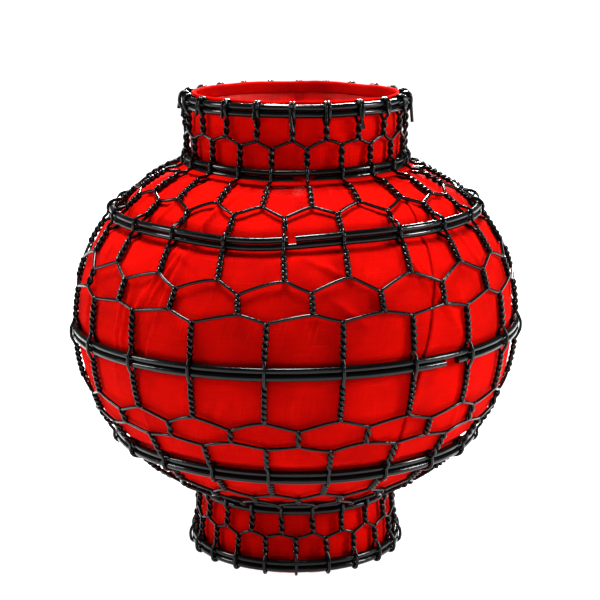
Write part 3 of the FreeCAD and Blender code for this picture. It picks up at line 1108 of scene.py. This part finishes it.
def spin(name, profile, material, body, node, flutes=0, flute_depth=0.0):
    """A closed round piece from its (radius, height) profile, which starts and ends on the axis."""
    mesh = bmesh.new()
    rings = []
    for radius, z in profile:
        if radius < 1e-6:
            rings.append([mesh.verts.new((0, 0, z))])
            continue
        ring = []
        for step in range(SPIN_STEPS):
            angle = 2 * math.pi * step / SPIN_STEPS
            r = radius + flute_depth * math.cos(flutes * angle)
            ring.append(mesh.verts.new((r * math.cos(angle), r * math.sin(angle), z)))
        rings.append(ring)
    for low, high in zip(rings, rings[1:]):
        for step in range(SPIN_STEPS):
            after = (step + 1) % SPIN_STEPS
            corners = [low[k % len(low)] for k in (step, after)]
            corners += [high[k % len(high)] for k in (after, step)]
            face = mesh.faces.new(list(dict.fromkeys(corners)))
            face.smooth = True
    bmesh.ops.recalc_face_normals(mesh, faces=mesh.faces)
    piece = finish_mesh(name, mesh, material)
    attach(piece, body)
    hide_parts(node)
    return piece


# %% Make the dish
DISH_SHEET = 0.0006
EDGE = 0.0006
dish_low, dish_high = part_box("candle_dish")
cup_low, cup_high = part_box("tealight_cup")
flange_radius = dish_high[0]
dish_floor = dish_low[2]
flange_z = dish_high[2] - DISH_SHEET
bowl_radius = flange_radius - 0.0047
bead_radius = cup_high[0] + 0.0011
dish_profile = [
    (0, dish_floor),
    (bowl_radius - 0.002, dish_floor),
    (bowl_radius - EDGE, dish_floor + EDGE),
    (bowl_radius, dish_floor + 0.002),
    (bowl_radius, flange_z - EDGE),
    (bowl_radius + EDGE, flange_z),
    (flange_radius - 0.0008, flange_z),
    (flange_radius, flange_z + 0.0003),
    (flange_radius - 0.0008, flange_z + DISH_SHEET),
    (bowl_radius + EDGE, flange_z + DISH_SHEET),
    (bowl_radius - DISH_SHEET, flange_z - EDGE / 2),
    (bowl_radius - DISH_SHEET, dish_floor + 0.0024),
    (bowl_radius - 0.0024, dish_floor + DISH_SHEET),
    (bead_radius + 0.0009, dish_floor + DISH_SHEET),
    (bead_radius + 0.0005, dish_floor + 0.0022),
    (bead_radius, dish_floor + 0.0026),
    (bead_radius - 0.0005, dish_floor + 0.0022),
    (bead_radius - 0.0005, dish_floor + DISH_SHEET),
    (0, dish_floor + DISH_SHEET),
]
spin("dish", dish_profile, dish_paint, "dish", "candle_dish")
print("dish: flange radius %.1f mm" % (flange_radius * 1000))

# %% Make the tealight
FOIL = 0.0004
cup_radius, cup_base, cup_top = cup_high[0], cup_low[2], cup_high[2]
cup_profile = [
    (0, cup_base + 0.0004),
    (cup_radius * 0.72, cup_base + 0.0004),
    (cup_radius * 0.76, cup_base),
    (cup_radius - 0.0016, cup_base),
    (cup_radius - 0.0006, cup_base + 0.001),
    (cup_radius - 0.0004, cup_top - 0.0012),
    (cup_radius - 0.0001, cup_top - 0.0005),
    (cup_radius - 0.0003, cup_top),
    (cup_radius - 0.0006, cup_top - 0.0003),
    (cup_radius - 0.0004 - FOIL, cup_top - 0.0012),
    (cup_radius - 0.0006 - FOIL, cup_base + 0.0012),
    (0, cup_base + 0.0008),
]
spin("foil_cup", cup_profile, foil, "tealight", "tealight_cup", 48, 0.00008)
wax_low, wax_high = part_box("tealight_wax")
WICK_STEPS = 8
WICK_WIDTH = 0.0012
WICK_BEND = 0.0006
wax_radius = wax_high[0] - 0.0006
wax_top = wax_high[2]
wax_profile = [
    (0, wax_low[2] + 0.0006),
    (wax_radius - 0.0008, wax_low[2] + 0.0006),
    (wax_radius, wax_low[2] + 0.0014),
    (wax_radius, wax_top - 0.0002),
    (wax_radius - 0.0008, wax_top - 0.0007),
    (wax_radius * 0.6, wax_top - 0.0009),
    (0.004, wax_top - 0.0008),
    (0.0016, wax_top - 0.0003),
    (0.0009, wax_top + 0.0002),
    (0, wax_top + 0.0002),
]
spin("wax_fill", wax_profile, wax, "tealight", "tealight_wax")
wick_start = wax_top - 0.002
wick_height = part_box("tealight_wick")[1][2] - wick_start - 0.0004
wick_points = []
for step in range(WICK_STEPS + 1):
    rise = step / WICK_STEPS
    bend = WICK_BEND * rise * rise
    wick_points.append(Vector((bend, bend / 2, wick_start + wick_height * rise)))
wick = make_wire("wick", wick_points, WICK_WIDTH, wick_thread, "tealight", 3, 2)
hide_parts("tealight_wick")
print("tealight: %.0f mm across" % (2000 * cup_radius))

# %% [markdown]
# ## The room
# A pale floor that glows a little, so that it stays white to the horizon, and five soft lamps.
# The main one is straight above, so each hoop throws its shadow down the cloth. Two light the
# sides, one behind shines through the neck's cloth, and a weak one in front gives the enamel its
# glints. The world itself is dim, so the enamel stays black.

# %% Floor and light
floor_mesh = bpy.data.meshes.new("floor")
FLOOR_HALF = 12.0
SQUARE = ((-1, -1), (1, -1), (1, 1), (-1, 1))
floor_corners = [(x * FLOOR_HALF, y * FLOOR_HALF, 0) for x, y in SQUARE]
floor_mesh.from_pydata(floor_corners, [], [(0, 1, 2, 3)])
floor = bpy.data.objects.new("floor", floor_mesh)
bpy.context.collection.objects.link(floor)
floor_paint, _, floor_shader = new_material("floor_paint")
floor_shader.inputs["Base Color"].default_value = (0.4, 0.4, 0.4, 1)
floor_shader.inputs["Roughness"].default_value = 0.8
floor_shader.inputs["Specular IOR Level"].default_value = 0.1
floor_shader.inputs["Emission Color"].default_value = (1, 1, 1, 1)
floor_shader.inputs["Emission Strength"].default_value = 0.82
floor_mesh.materials.append(floor_paint)


def lamp(name, place_at, aim, size, power):
    data = bpy.data.lights.new(name, "AREA")
    data.shape = "RECTANGLE"
    data.size, data.size_y = size
    data.energy = power
    made = bpy.data.objects.new(name, data)
    bpy.context.collection.objects.link(made)
    made.location = place_at
    made.rotation_euler = (Vector(aim) - Vector(place_at)).to_track_quat("-Z", "Y").to_euler()


MIDDLE = (0, 0, 0.13)
lamp("lamp_left", (-1.2, -0.15, 0.6), MIDDLE, (0.3, 0.45), 7)
lamp("lamp_right", (1.2, -0.25, 0.6), MIDDLE, (0.3, 0.4), 14)
lamp("lamp_top", (-0.1, 0.03, 1.3), MIDDLE, (0.4, 0.4), 27)
lamp("lamp_front", (0.1, -1.3, 0.35), MIDDLE, (0.5, 0.35), 0.6)
lamp("lamp_back", (0.1, 1.1, 0.7), MIDDLE, (0.35, 0.3), 28)
WORLD_STRENGTH = 0.12
world = bpy.data.worlds.new("world")
world.use_nodes = True
background = world.node_tree.nodes["Background"]
background.inputs["Color"].default_value = (1, 1, 1, 1)
background.inputs["Strength"].default_value = WORLD_STRENGTH
bpy.context.scene.world = world
bpy.context.scene.view_settings.view_transform = "Standard"
bpy.context.scene.view_settings.look = "Medium High Contrast"
print("lamps: 5")
